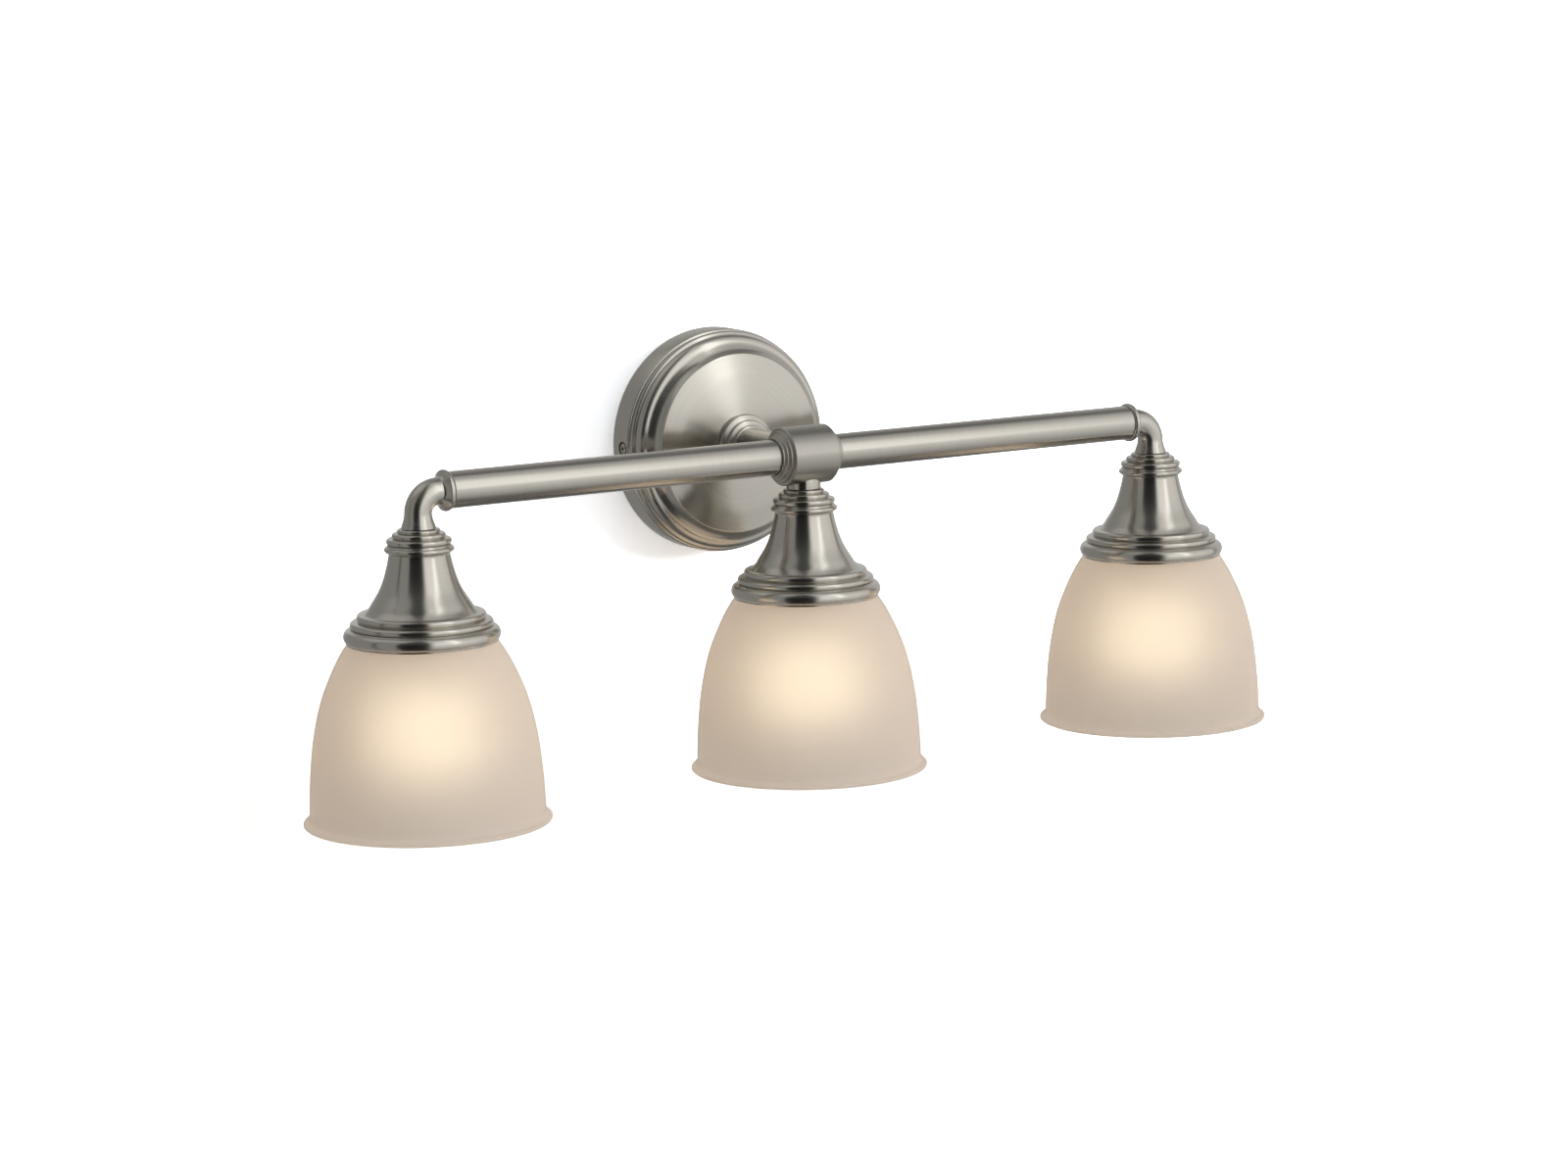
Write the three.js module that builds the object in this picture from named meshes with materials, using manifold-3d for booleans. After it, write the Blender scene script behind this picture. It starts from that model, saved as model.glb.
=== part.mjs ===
// Three-light vanity bar: a round wall canopy, an arm to a central hub, a tube to each side,
// and three bell-capped lamps hanging from the tubes with glass shades and screw-in bulbs.
// Millimetres. The origin is the centre of the mounting plane on the wall (y = 0).
// +X runs along the bar, +Z is up, and the light stands out from the wall towards -Y.
import * as THREE from "three";
import { mergeVertices } from "three/addons/utils/BufferGeometryUtils.js";
import Module from "manifold-3d";

const wasm = await Module();
wasm.setup();

// ---- driving dimensions -------------------------------------------------------------------
const LAMP_PITCH = 229.5; // from lamp axis to lamp axis
const WALL_TO_BAR = 96; // from the wall to the axis of the bar
const BAR_TO_LIP = 169.3; // from the bar's axis down to the shade's lip
const GAP = 0.3; // clearance between neighbouring pieces

const CANOPY_R = 61.5;
const CANOPY_DEPTH = 35.8; // from the wall to the seat of the arm's collar
const SHEET = 1.4; // wall of the spun metal shells
const SIDE_SCREW_DEPTH = 9.7; // from the wall to the side screws' axis

const TUBE_R = 9.5; // bar and arm, 3/4 inch tube
const TUBE_BORE_R = 8.2;
const STEM_R = 9.25;
const HUB_R = 15.6;
const HUB_HALF = 18.8;
const HUB_CAVITY_HALF = 12.8;
const HUB_CAVITY_R = 12.6;
const HUB_SEAT = 12.2; // from the bar's axis to the ends of the arm and the centre stem

const ELBOW_R = 7.05;
const ELBOW_BEND_R = 11;
const ELBOW_BEAD_R = 10.7;
const ELBOW_BEAD_END = 17; // from the lamp's axis to the face that meets the bar
const ELBOW_BORE_R = 4;
const SPIGOT_END = 28; // from the lamp's axis to the end of the spigot in the bar

const NIPPLE_R = 4.9; // 1/8 IP threaded nipple
const NIPPLE_BORE_R = 3.4;
const NIPPLE_HOLE_R = 5.3;
const NUT_HEIGHT = 4;

const STRAP_HALF = 57.1; // half the strap's length
const STRAP_THICK = 1.8;
const STRAP_WIDTH = 22;
const SLOT_X = 36; // the strap's slots, from the middle
const EAR_REACH = 14; // from the wall to the ears' tips
const EAR_WIDTH = 15;
const GROUND_X = -18;

// Lamp heights are measured up from the shade's lip.
const SHADE_LIP_R = 63.5;
const SHADE_WALL = 3;
const SHADE_HOLE_R = 21;
const CAP_RIM_HEIGHT = 93.5;
const CAP_TOP_HEIGHT = 143.3;
const COLLAR_HEIGHT = 7.6;
const COLLAR_BASE = CAP_TOP_HEIGHT + GAP;
const COLLAR_TOP = COLLAR_BASE + COLLAR_HEIGHT;
const STEM_FOOT = COLLAR_TOP + GAP - BAR_TO_LIP; // from the bar's axis, as the elbows' feet
const SOCKET_BOTTOM = 88;
const SOCKET_TOP = 127;
const NIPPLE_BOTTOM = 121;
const BULB_R = 30;
const BULB_CENTRE = 40;
const BULB_BASE_R = 12.9;

const LOOM_R = 1.15; // sleeved pair of conductors
const TAIL_R = 0.7; // one conductor

// ---- materials ----------------------------------------------------------------------------
const metal = (color, roughness) =>
  new THREE.MeshStandardMaterial({ color, roughness, metalness: 1 });
const plain = (color, roughness) =>
  new THREE.MeshStandardMaterial({ color, roughness, metalness: 0 });
const nickel = () => metal(0xb8b3a8, 0.32);
const zinc = () => metal(0xa9abad, 0.45);
const brass = () => metal(0xc9a558, 0.35);
const copper = () => metal(0xb87348, 0.4);
const frosted = () =>
  new THREE.MeshStandardMaterial({
    color: 0xf2e6d6, roughness: 0.5, metalness: 0, transparent: true, opacity: 0.85,
  });

// ---- geometry helpers ---------------------------------------------------------------------
const AXIS_TURN = {
  z: (g) => g.rotateX(Math.PI / 2),
  x: (g) => g.rotateZ(-Math.PI / 2),
  outward: (g) => g.rotateX(Math.PI), // heights run from the wall towards -Y
};

// A turned solid from [radius, height] points. The outline is closed and put the right way round.
function turned(outline, segments, axis = "z") {
  const points = outline.map(([r, h]) => new THREE.Vector2(r, h));
  const area = THREE.ShapeUtils.area(points);
  if (area < 0) points.reverse();
  const first = points[0];
  const last = points[points.length - 1];
  if (first.x > 0 || last.x > 0) points.push(first.clone());
  return AXIS_TURN[axis](new THREE.LatheGeometry(points, segments));
}

// A hollow ring or tube between two radii and two heights.
function tube(outer, inner, low, high, segments, axis = "z") {
  return turned([[inner, low], [outer, low], [outer, high], [inner, high]], segments, axis);
}

// A solid round bar between two heights.
function rod(radius, low, high, segments, axis = "z") {
  return turned([[0, low], [radius, low], [radius, high], [0, high]], segments, axis);
}

// The points of a round bead: an arc about (r, h) from one angle to another, in degrees.
function arc(r, h, radiusR, radiusH, from, to, steps) {
  return Array.from({ length: steps + 1 }, (_, i) => {
    const angle = THREE.MathUtils.degToRad(from + ((to - from) * i) / steps);
    return [r + radiusR * Math.cos(angle), h + radiusH * Math.sin(angle)];
  });
}

// The points of a smooth curve through a few [radius, height] points.
function smooth(through, steps) {
  const curve = new THREE.SplineCurve(through.map(([r, h]) => new THREE.Vector2(r, h)));
  return curve.getPoints(steps).map((p) => [p.x, p.y]);
}

// The open outline moved sideways by a wall thickness, walked back to where it began.
function innerWall(outline, wall) {
  const moved = outline.map(([r, h], i) => {
    const [r0, h0] = outline[Math.max(i - 1, 0)];
    const [r1, h1] = outline[Math.min(i + 1, outline.length - 1)];
    const length = Math.hypot(r1 - r0, h1 - h0);
    return [r - (wall * (h1 - h0)) / length, h + (wall * (r1 - r0)) / length];
  });
  return moved.reverse();
}

function circle(radius, sides) {
  return new THREE.Shape(
    Array.from({ length: sides }, (_, i) => {
      const angle = (2 * Math.PI * i) / sides;
      return new THREE.Vector2(radius * Math.cos(angle), radius * Math.sin(angle));
    }),
  );
}

// A round section swept along a path.
function swept(path, radius, sides, steps) {
  return new THREE.ExtrudeGeometry(circle(radius, sides), {
    steps, extrudePath: path, bevelEnabled: false,
  });
}

function box(x, y, z, width, depth, height) {
  return new THREE.BoxGeometry(width, depth, height).translate(x, y, z);
}

function solidOf(geometry) {
  const bare = geometry.clone();
  bare.deleteAttribute("normal");
  bare.deleteAttribute("uv");
  const merged = mergeVertices(bare, 1e-3);
  return new wasm.Manifold(
    new wasm.Mesh({
      numProp: 3,
      vertProperties: merged.attributes.position.array,
      triVerts: new Uint32Array(merged.index.array),
    }),
  );
}

function geometryOf(solid) {
  const mesh = solid.getMesh();
  return new THREE.BufferGeometry()
    .setAttribute("position", new THREE.BufferAttribute(mesh.vertProperties, 3))
    .setIndex(new THREE.BufferAttribute(mesh.triVerts, 1));
}

// Joins the first list of geometries and cuts the second list out of them.
function carved(joined, cut = []) {
  let solid = joined.map(solidOf).reduce((a, b) => a.add(b));
  cut.forEach((geometry) => {
    solid = solid.subtract(solidOf(geometry));
  });
  return geometryOf(solid);
}

const light = new THREE.Group();

function place(name, geometry, material, parent = light) {
  const mesh = new THREE.Mesh(geometry, material);
  mesh.name = name;
  parent.add(mesh);
  return mesh;
}

// ---- shared small pieces ------------------------------------------------------------------

// Stepped collar in three tiers, used above each bell cap and where the arm meets the canopy.
function steppedCollar(axis, base) {
  return turned(
    [
      [NIPPLE_HOLE_R, base],
      [16, base],
      [16.6, base + 1],
      [16.1, base + 2.8],
      [13.8, base + 3.1],
      [13.4, base + 5.5],
      [11, base + 5.8],
      [10.6, base + COLLAR_HEIGHT],
      [NIPPLE_HOLE_R, base + COLLAR_HEIGHT],
    ],
    16,
    axis,
  );
}

const nipple = (low, high, axis) => tube(NIPPLE_R, NIPPLE_BORE_R, low, high, 10, axis);

const hexNut = (low, high, axis) =>
  carved([turned([[0, low], [8, low], [8, high], [0, high]], 6, axis)],
    [rod(NIPPLE_HOLE_R, low - 1, high + 1, 10, axis)]);

// ---- wall side ----------------------------------------------------------------------------

// A round bar on one of the two side screws' axes, between two distances from the middle.
function sideRod(side, radius, near, far, segments) {
  const [low, high] = [side * near, side * far].sort((a, b) => a - b);
  return rod(radius, low, high, segments, "x").translate(0, -SIDE_SCREW_DEPTH, 0);
}

function buildCanopy() {
  const outer = [
    [CANOPY_R, 0],
    [61.2, 14.2],
    [59, 14.9],
    ...arc(58.9, 16.8, 1.5, 1.5, -30, 60, 1),
    [58.5, 18.7],
    ...arc(54.2, 19.6, 4.4, 4.4, 10, 75, 2),
    [54.2, 24.2],
    [51, 26.8],
    [49, 30.6],
    ...smooth([[47.8, 31.2], [36, 33.6], [25, 34.9], [15, CANOPY_DEPTH]], 3),
    [NIPPLE_HOLE_R, CANOPY_DEPTH],
  ];
  const inner = [
    [NIPPLE_HOLE_R, CANOPY_DEPTH - SHEET],
    [15, 34.3],
    ...smooth([[25, 33.4], [36, 32.1], [46.6, 29.5]], 1),
    [49, 25.4],
    [56.4, 17.4],
    [59.4, 13.2],
    [CANOPY_R - SHEET, 0],
  ];
  const bosses = [];
  const cuts = [];
  [-1, 1].forEach((side) => {
    bosses.push(sideRod(side, 6.5, 57.4, 60.4, 10));
    cuts.push(sideRod(side, 4.3, 59.2, 64, 12)); // recess for the screw's head
    cuts.push(sideRod(side, 2.3, 55, 60, 8));
  });
  return carved([turned([...outer, ...inner], 20, "outward"), ...bosses], cuts);
}

// Flat strap across the wall box with two slots, and an ear at each end for a side screw.
function buildStrap() {
  const centreY = -STRAP_THICK / 2;
  const earX = STRAP_HALF - STRAP_THICK / 2;
  const plate = box(0, centreY, 0, 2 * STRAP_HALF, STRAP_THICK, STRAP_WIDTH);
  const ears = [-1, 1].map((side) =>
    box(side * earX, -EAR_REACH / 2 - 0.2, 0, STRAP_THICK, EAR_REACH - 0.4, EAR_WIDTH));
  const trims = [-1, 1].flatMap((side) =>
    [-1, 1].map((up) => box(side * 56, centreY, (up * STRAP_WIDTH) / 2, 12, 4, 7)));
  const slots = [-1, 1].map((side) => box(side * SLOT_X, centreY, 0, 16, 4, 5));
  const tapped = [-1, 1].map((side) => sideRod(side, 2.2, STRAP_HALF - 3, STRAP_HALF + 3, 8));
  const earth = rod(2.3, -1, 4, 8, "outward").translate(GROUND_X, 0, 0);
  return carved([plate, ...ears], [...trims, ...slots, ...tapped, earth]);
}

// Recessed cross-head screw through the canopy's side into the strap's ear.
function sideScrew() {
  const shank = 1.9;
  const head = 3.8;
  const body = turned([
    [0, 50],
    [shank, 50],
    [shank, 59.5],
    [head, 59.5],
    [head, 60.6],
    [3, 61.2],
    [0, 61.2],
  ], 10, "x");
  const cross = [box(61, 0, 0, 2, 1, 4.4), box(61, 0, 0, 2, 4.4, 1)];
  return carved([body], cross).translate(0, -SIDE_SCREW_DEPTH, 0);
}

function groundScrew() {
  const head = turned([[0, 2.1], [4.4, 2.1], [4.4, 5.4], [0, 5.4]], 6, "outward");
  return carved([head, rod(1.9, 0.3, 3, 8, "outward")]).translate(GROUND_X, 0, 0);
}

// Twist-on connector with a hollow mouth that faces down.
function wireNut(mouth) {
  return turned([
    [3.3, mouth],
    [5.2, mouth],
    [4.9, mouth + 8],
    [3.6, mouth + 18],
    [0, mouth + 19],
    [0, mouth + 10],
    [3.3, mouth + 10],
  ], 10);
}

const ARM_COLLAR_TOP = CANOPY_DEPTH + GAP + COLLAR_HEIGHT;
const ARM_START = ARM_COLLAR_TOP + GAP;
const ARM_END = WALL_TO_BAR - HUB_SEAT;
const ARM_NUT_TOP = CANOPY_DEPTH - SHEET - GAP;
const NUT_MOUTH = 18;
const NUT_X = 9;
const NUT_Y = -14;

place("canopy", buildCanopy(), nickel());
place("mounting_strap", buildStrap(), zinc());
place("side_screw_right", sideScrew(), nickel());
place("side_screw_left", sideScrew(), nickel()).scale.x = -1;
place("ground_screw", groundScrew(), plain(0x2f7d3b, 0.5));
place("arm_collar", steppedCollar("outward", CANOPY_DEPTH + GAP), nickel());
place("arm_nipple", nipple(25, ARM_START + 7, "outward"), zinc());
place("arm_locknut", hexNut(ARM_NUT_TOP - NUT_HEIGHT, ARM_NUT_TOP, "outward"), zinc());
place("arm", turned([
  [NIPPLE_HOLE_R, ARM_START],
  [TUBE_R, ARM_START],
  [TUBE_R, ARM_END],
  [TUBE_BORE_R, ARM_END],
  [TUBE_BORE_R, ARM_START + 8],
  [NIPPLE_HOLE_R, ARM_START + 8],
], 16, "outward"), nickel());
["hot", "neutral"].forEach((name, i) => {
  const color = i ? 0xf0ede4 : 0xd9532b;
  place("wire_nut_" + name, wireNut(NUT_MOUTH), plain(color, 0.55))
    .position.set(i ? NUT_X : -NUT_X, NUT_Y, 0);
});
place("ground_wire", swept(new THREE.CatmullRomCurve3([
  new THREE.Vector3(GROUND_X, -6.6, 0),
  new THREE.Vector3(GROUND_X, -12, 2),
  new THREE.Vector3(-19, -20, 6),
  new THREE.Vector3(-14, -26, 5),
  new THREE.Vector3(-8.8, -28.4, 2),
]), 0.8, 5, 9), copper());

// ---- bar ----------------------------------------------------------------------------------
const bar = new THREE.Group();
bar.position.y = -WALL_TO_BAR;
light.add(bar);

function buildHub() {
  const halfOutline = [
    [HUB_R, 13.9],
    [13.9, 14.1],
    [13.6, 15.6],
    [12.4, 15.8],
    [12.1, 17.1],
    [11, 17.3],
    [10.6, HUB_HALF],
    [TUBE_R + GAP, HUB_HALF],
    [TUBE_R + GAP, HUB_CAVITY_HALF],
    [HUB_CAVITY_R, HUB_CAVITY_HALF],
  ];
  const mirrored = halfOutline.map(([r, x]) => [r, -x]).reverse();
  const barrel = turned([...halfOutline, ...mirrored], 16, "x");
  const armHole = rod(TUBE_R + GAP, -30, -5, 16, "outward");
  const stemHole = rod(STEM_R + GAP, -30, -5, 16);
  return carved([barrel], [armHole, stemHole]);
}

// Cast elbow: a flared foot on the lamp, a quarter bend, and a flared bead with a spigot
// that enters the bar. Drawn from the lamp's axis towards +X.
function elbowPath(start, end) {
  const k = 0.5523 * ELBOW_BEND_R; // the handle that makes a cubic curve a quarter circle
  const low = new THREE.Vector3(0, 0, -ELBOW_BEND_R);
  const high = new THREE.Vector3(ELBOW_BEND_R, 0, 0);
  const path = new THREE.CurvePath();
  path.add(new THREE.LineCurve3(new THREE.Vector3(0, 0, start), low));
  const leaving = new THREE.Vector3(0, 0, k - ELBOW_BEND_R);
  const arriving = new THREE.Vector3(ELBOW_BEND_R - k, 0, 0);
  path.add(new THREE.CubicBezierCurve3(low, leaving, arriving, high));
  path.add(new THREE.LineCurve3(high, new THREE.Vector3(end, 0, 0)));
  return path;
}

function buildElbow() {
  const foot = STEM_FOOT;
  const footCone = turned([
    [0, foot],
    [8.8, foot],
    [8.2, foot + 2],
    [7.5, foot + 4.5],
    [ELBOW_R, foot + 7.5],
    [0, foot + 7.5],
  ], 12);
  const bead = turned(
    [
      [0, 10],
      [ELBOW_R, 10],
      [ELBOW_R, 11.2],
      [7.9, 12.6],
      [9.4, 13.6],
      ...arc(9.4, ELBOW_BEAD_END - 1.7, ELBOW_BEAD_R - 9.4, 1.7, -30, 60, 2),
      [9.4, ELBOW_BEAD_END],
      [TUBE_BORE_R - GAP, ELBOW_BEAD_END],
      [TUBE_BORE_R - GAP, SPIGOT_END],
      [0, SPIGOT_END],
    ], 12, "x");
  const bend = swept(elbowPath(foot + 5, 12), ELBOW_R, 12, 6);
  const bore = swept(elbowPath(foot - 2, SPIGOT_END + 2), ELBOW_BORE_R, 8, 14);
  const thread = rod(NIPPLE_HOLE_R, foot - 2, foot + 6, 10);
  return carved([footCone, bead, bend], [bore, thread]);
}

const BAR_START = HUB_CAVITY_HALF + GAP;
const BAR_END = LAMP_PITCH - ELBOW_BEAD_END - GAP;

place("hub", buildHub(), nickel(), bar);
[["left", -1], ["right", 1]].forEach(([side, sign]) => {
  const ends = [sign * BAR_START, sign * BAR_END].sort((a, b) => a - b);
  place("bar_tube_" + side, tube(TUBE_R, TUBE_BORE_R, ...ends, 16, "x"), nickel(), bar);
  const elbow = place("elbow_" + side, buildElbow(), nickel(), bar);
  elbow.position.x = sign * LAMP_PITCH;
  elbow.rotation.z = sign > 0 ? Math.PI : 0;
});
place("centre_stem", turned([
  [NIPPLE_HOLE_R, STEM_FOOT],
  [STEM_R, STEM_FOOT],
  [STEM_R, -HUB_SEAT],
  [STEM_R - 1.6, -HUB_SEAT],
  [STEM_R - 1.6, -13],
  [NIPPLE_HOLE_R, -13],
], 16), nickel(), bar);

// ---- lamps --------------------------------------------------------------------------------
function bellCap() {
  const outer = [
    [39.3, CAP_RIM_HEIGHT],
    ...arc(37.4, 97.2, 2.6, 3.6, 0, 70, 2),
    [36.4, 101.4],
    [36, 104.4],
    [32.9, 104.9],
    [32.2, 108],
    ...smooth([
      [29.2, 108.6],
      [24.9, 114],
      [21.2, 120],
      [18.6, 126.3],
      [16.6, 133.5],
      [15.6, 138.4],
    ], 4),
    [17.8, 140.4],
    [17.6, 142.2],
    [16, CAP_TOP_HEIGHT],
    [NIPPLE_HOLE_R, CAP_TOP_HEIGHT],
  ];
  const inner = [
    [NIPPLE_HOLE_R, CAP_TOP_HEIGHT - SHEET],
    [14.2, CAP_TOP_HEIGHT - SHEET],
    [14.2, 138],
    ...smooth([[15.2, 133], [17.2, 125.4], [23.6, 112.6], [28, 107.2]], 3),
    [31.2, 106.8],
    [34.9, 103.4],
    [35.4, 100.6],
    [38.9, 97],
    [38.6, CAP_RIM_HEIGHT],
  ];
  return turned([...outer, ...inner], 16);
}

function glassShade() {
  const outer = [
    [62.1, 0],
    [SHADE_LIP_R, 1.3],
    [62.4, 2.8],
    ...smooth([
      [60.4, 4],
      [59.4, 24],
      [57.2, 44],
      [52.6, 64],
      [45.1, 82],
      [38, 93.6],
      [32.4, 98.2],
      [25.6, 100.8],
    ], 9),
    [SHADE_HOLE_R, 101],
  ];
  const body = outer.slice(3); // without the lip
  return turned([...outer, ...innerWall(body, SHADE_WALL), [59, 0]], 16);
}

function socketBody() {
  return turned(
    [
      [14.7, SOCKET_BOTTOM],
      [19.6, SOCKET_BOTTOM],
      [19.6, 101.4],
      [24, 101.4],
      [24, 104.4],
      [17.2, 104.6],
      [17.2, 119],
      [15.4, 122.6],
      [8, 123.4],
      [8, SOCKET_TOP],
      [NIPPLE_HOLE_R, SOCKET_TOP],
      [NIPPLE_HOLE_R, NIPPLE_BOTTOM - GAP],
      [0, NIPPLE_BOTTOM - GAP],
      [0, 118.4],
      [14.7, 118.4],
    ], 12);
}

const screwShell = () =>
  turned([[13.6, 90], [14.3, 90], [14.3, 118], [5, 118], [5, 117.3], [13.6, 117.3]], 12);

const retainingRing = () =>
  turned([[20.1, 91.6], [25.4, 91.6], [25.4, 95.2], [24, 96.4], [20.1, 96.4]], 14);

function bulbGlass() {
  const neckAngle = 28;
  const ball = arc(0, BULB_CENTRE, BULB_R, BULB_R, -90, neckAngle, 5);
  const outer = [[0, BULB_CENTRE - BULB_R], ...ball.slice(1), [21, 68], [15.6, 79], [12.9, 89.4]];
  const wall = 1;
  const scale = (BULB_R - wall) / BULB_R;
  const inward = ([r, h]) => [r * scale, BULB_CENTRE + (h - BULB_CENTRE) * scale];
  const innerBall = ball.slice(1).map(inward).reverse();
  const innerEnd = [0, BULB_CENTRE - BULB_R + wall];
  const inner = [[11.9, 89.4], [14.6, 79], [20, 67.6], ...innerBall, innerEnd];
  return turned([...outer, ...inner], 14);
}

const bulbBase = () =>
  turned([
    [11.9, 89.8],
    [BULB_BASE_R, 89.8],
    [BULB_BASE_R, 110],
    [9, 113],
    [4, 114],
    [3.6, 116],
    [0, 116],
    [0, 114.6],
    [8.4, 112],
    [11.9, 109.4],
  ], 10);

const CAP_NUT_TOP = CAP_TOP_HEIGHT - SHEET - GAP;
const LAMPS = [["left", -1], ["centre", 0], ["right", 1]];
LAMPS.forEach(([side, index]) => {
  const lamp = new THREE.Group();
  lamp.position.set(index * LAMP_PITCH, -WALL_TO_BAR, -BAR_TO_LIP);
  light.add(lamp);
  const add = (name, geometry, material) => place(name + "_" + side, geometry, material, lamp);
  add("stepped_collar", steppedCollar("z", COLLAR_BASE), nickel());
  add("bell_cap", bellCap(), nickel());
  add("nipple", nipple(NIPPLE_BOTTOM, COLLAR_TOP + 5, "z"), zinc());
  add("locknut", hexNut(CAP_NUT_TOP - NUT_HEIGHT, CAP_NUT_TOP, "z"), zinc());
  add("socket", socketBody(), plain(0xe9e4d8, 0.5));
  add("screw_shell", screwShell(), brass());
  add("centre_contact", rod(3.4, 116.4, 118.1, 8), brass());
  add("retaining_ring", retainingRing(), plain(0xe9e4d8, 0.5));
  add("glass_shade", glassShade(), frosted());
  add("bulb_glass", bulbGlass(), plain(0xfff3dc, 0.4));
  add("bulb_base", bulbBase(), metal(0xc9c6bf, 0.35));
});

// ---- wiring -------------------------------------------------------------------------------
// Each lamp's sleeved pair runs from its socket through the nipple, elbow or stem, bar, hub and
// arm into the canopy, where its two conductors part to the two wire nuts.
const BAR_Y = -WALL_TO_BAR;
const LOOM_START = NIPPLE_BOTTOM + 0.4 - BAR_TO_LIP;
const SPLIT_Y = -21;
const LOOM_OFFSET = 1.68; // the three looms lie round the arm's axis at this distance
const LOOM_ANGLE = { left: 150, centre: 270, right: 30 };

const at = (x, y, z) => new THREE.Vector3(x, y, z);

// From an outer lamp's socket up through its elbow, along the bar and into the hub.
function outerRoute(index, oz) {
  const lampX = index * LAMP_PITCH;
  const bendX = lampX - index * ELBOW_BEND_R;
  return [
    at(lampX, BAR_Y, LOOM_START),
    at(lampX, BAR_Y, -30),
    at(lampX, BAR_Y, -ELBOW_BEND_R - 1),
    at(lampX - index * 3.2, BAR_Y, -3.2),
    at(bendX - index, BAR_Y, 0),
    at(bendX - index * 60, BAR_Y, 0),
    at(index * 90, BAR_Y, 0),
    at(index * 20, BAR_Y, 0),
    at(index * 9, BAR_Y + 1.5, 0.5 * oz),
    at(index * 3.4, BAR_Y + 7, oz),
  ];
}

// From the centre lamp's socket up through the stem and into the hub.
function centreRoute() {
  return [
    at(0, BAR_Y, LOOM_START),
    at(0, BAR_Y, -30),
    at(0, BAR_Y, -10),
    at(0, BAR_Y + 2.4, -4.6),
    at(0, BAR_Y + 7, -2.4),
  ];
}

// One conductor from the end of a loom into a wire nut: to is -1 for hot and 1 for neutral.
function buildTail(index, to, ox, oz) {
  const nutX = to * NUT_X + 0.9 * ox;
  const nutY = NUT_Y + 0.9 * oz;
  const parting = index
    ? [at(ox + to * 1.4, SPLIT_Y + 1.6 + 2 * index, oz + 0.4), at(nutX * 0.6, NUT_Y + 3.2 * index, 7.8)]
    : [at(to * 2.4, SPLIT_Y + 1.4, -3), at(nutX * 0.8, NUT_Y - 6.6, 4.5)];
  return swept(new THREE.CatmullRomCurve3([
    at(ox + to * 0.3, SPLIT_Y - 1.6, oz),
    ...parting,
    at(nutX, nutY + (index ? 0.6 * index : -1.4), NUT_MOUTH - 4),
    at(nutX, nutY + 0.2 * index, NUT_MOUTH + 8),
  ]), TAIL_R, 4, 8);
}

LAMPS.forEach(([side, index]) => {
  const angle = THREE.MathUtils.degToRad(LOOM_ANGLE[side]);
  const ox = LOOM_OFFSET * Math.cos(angle);
  const oz = LOOM_OFFSET * Math.sin(angle);
  const route = new THREE.CatmullRomCurve3([
    ...(index ? outerRoute(index, oz) : centreRoute()),
    at(ox * 1.1, BAR_Y + 14, oz),
    at(ox, -60, oz),
    at(ox, -40, oz),
    at(ox, -26, oz),
    at(ox, SPLIT_Y, oz),
  ]);
  const loom = swept(route, LOOM_R, 5, index ? 44 : 20);
  const tails = [-1, 1].map((to) => buildTail(index, to, ox, oz));
  place("leads_" + side, carved([loom, ...tails]), plain(0x2b2b2b, 0.6));
});

export default light;
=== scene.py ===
"""Three-light vanity bar: fine meshes, materials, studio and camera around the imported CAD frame."""
import math

import bmesh
import bpy
import numpy as np
from mathutils import Matrix, Vector


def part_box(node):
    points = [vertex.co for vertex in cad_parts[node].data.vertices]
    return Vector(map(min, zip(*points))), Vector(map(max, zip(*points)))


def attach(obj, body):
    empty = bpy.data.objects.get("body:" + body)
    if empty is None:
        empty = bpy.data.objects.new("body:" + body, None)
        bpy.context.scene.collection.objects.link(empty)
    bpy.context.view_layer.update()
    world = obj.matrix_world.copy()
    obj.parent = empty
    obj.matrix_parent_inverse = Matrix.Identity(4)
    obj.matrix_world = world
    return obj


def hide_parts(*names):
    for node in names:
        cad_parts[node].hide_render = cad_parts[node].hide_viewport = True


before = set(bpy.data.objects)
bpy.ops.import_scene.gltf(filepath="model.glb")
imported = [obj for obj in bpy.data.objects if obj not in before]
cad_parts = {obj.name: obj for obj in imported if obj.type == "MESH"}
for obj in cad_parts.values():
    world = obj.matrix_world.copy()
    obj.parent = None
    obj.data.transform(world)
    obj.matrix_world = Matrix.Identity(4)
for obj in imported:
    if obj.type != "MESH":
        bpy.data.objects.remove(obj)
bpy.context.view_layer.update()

MM = 0.001
SIDES = ("left", "centre", "right")


# ---- places, from the frame ---------------------------------------------------------------
def middle(node):
    """The middle of a CAD node's box."""
    low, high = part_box(node)
    return (low + high) / 2


BAR_Y = middle("bar_tube_left").y
LAMP_X = {side: middle("bell_cap_" + side).x for side in SIDES}
LIP_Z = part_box("glass_shade_centre")[0].z
BAR_DROP = -LIP_Z / MM  # from the bar's axis down to the shade's lip

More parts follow.
